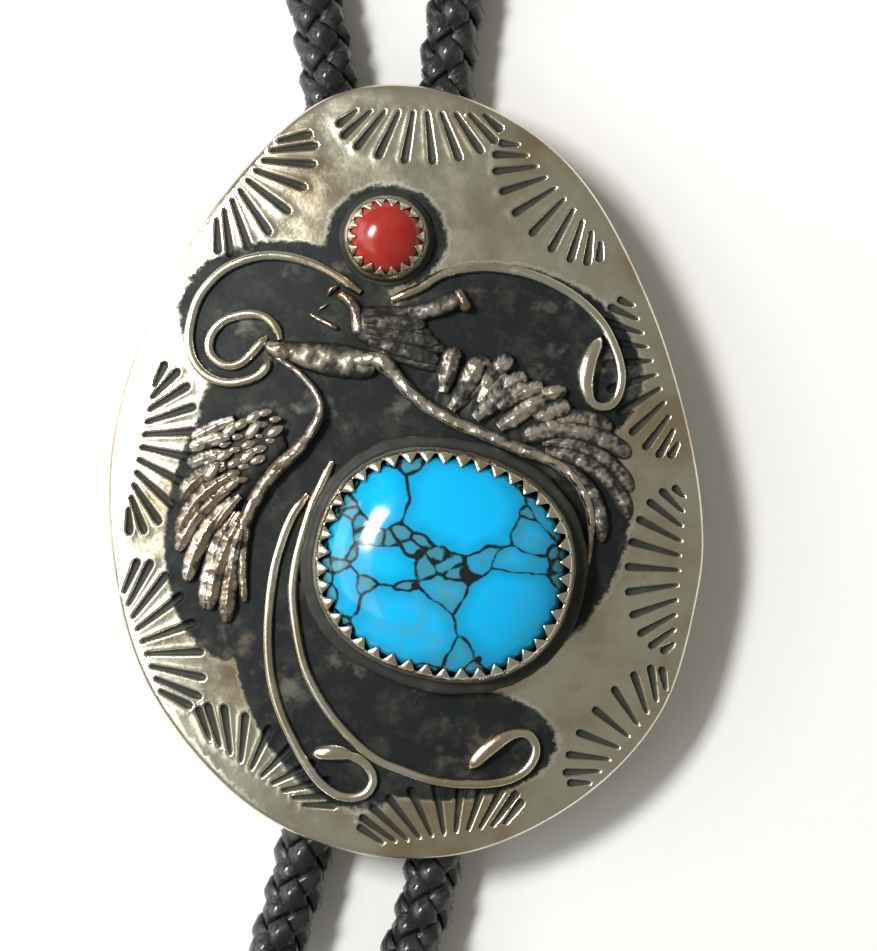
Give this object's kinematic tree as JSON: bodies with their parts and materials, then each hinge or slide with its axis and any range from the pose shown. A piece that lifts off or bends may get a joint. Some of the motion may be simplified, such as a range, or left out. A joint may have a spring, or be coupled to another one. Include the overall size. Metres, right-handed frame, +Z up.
{
  "type": "bolo tie",
  "caption": "Bolo tie: egg-shaped stamped silver slide with a cast eagle, scroll wires, turquoise and coral, on a braided leather cord with metal tips.",
  "frame": {"origin": "on the flat underside of the hidden back clip, where the slide lies on the surface, under the middle of the slide's outline", "axes": "+Z up, out of the slide's face; +Y along the slide towards the neck loop, which lies flat; +X to the right seen from above"},
  "size_m": [0.1912, 0.4381, 0.0142],
  "materials": {
    "aged_silver": "worn bright silver with dark oxidised recesses",
    "turquoise": "polished, with a black web",
    "coral": "polished",
    "clip_metal": "satin",
    "braided_leather": "waxed, glossy",
    "tip_metal": "polished with light scratches"
  },
  "bodies": {
    "root": {"slide_plate": "aged_silver", "turquoise_stone": "turquoise", "coral_stone": "coral", "back_clip": "clip_metal", "neck_cord": "braided_leather", "cord_tip_left": "tip_metal", "cord_tip_right": "tip_metal"}
  },
  "joints": []
}
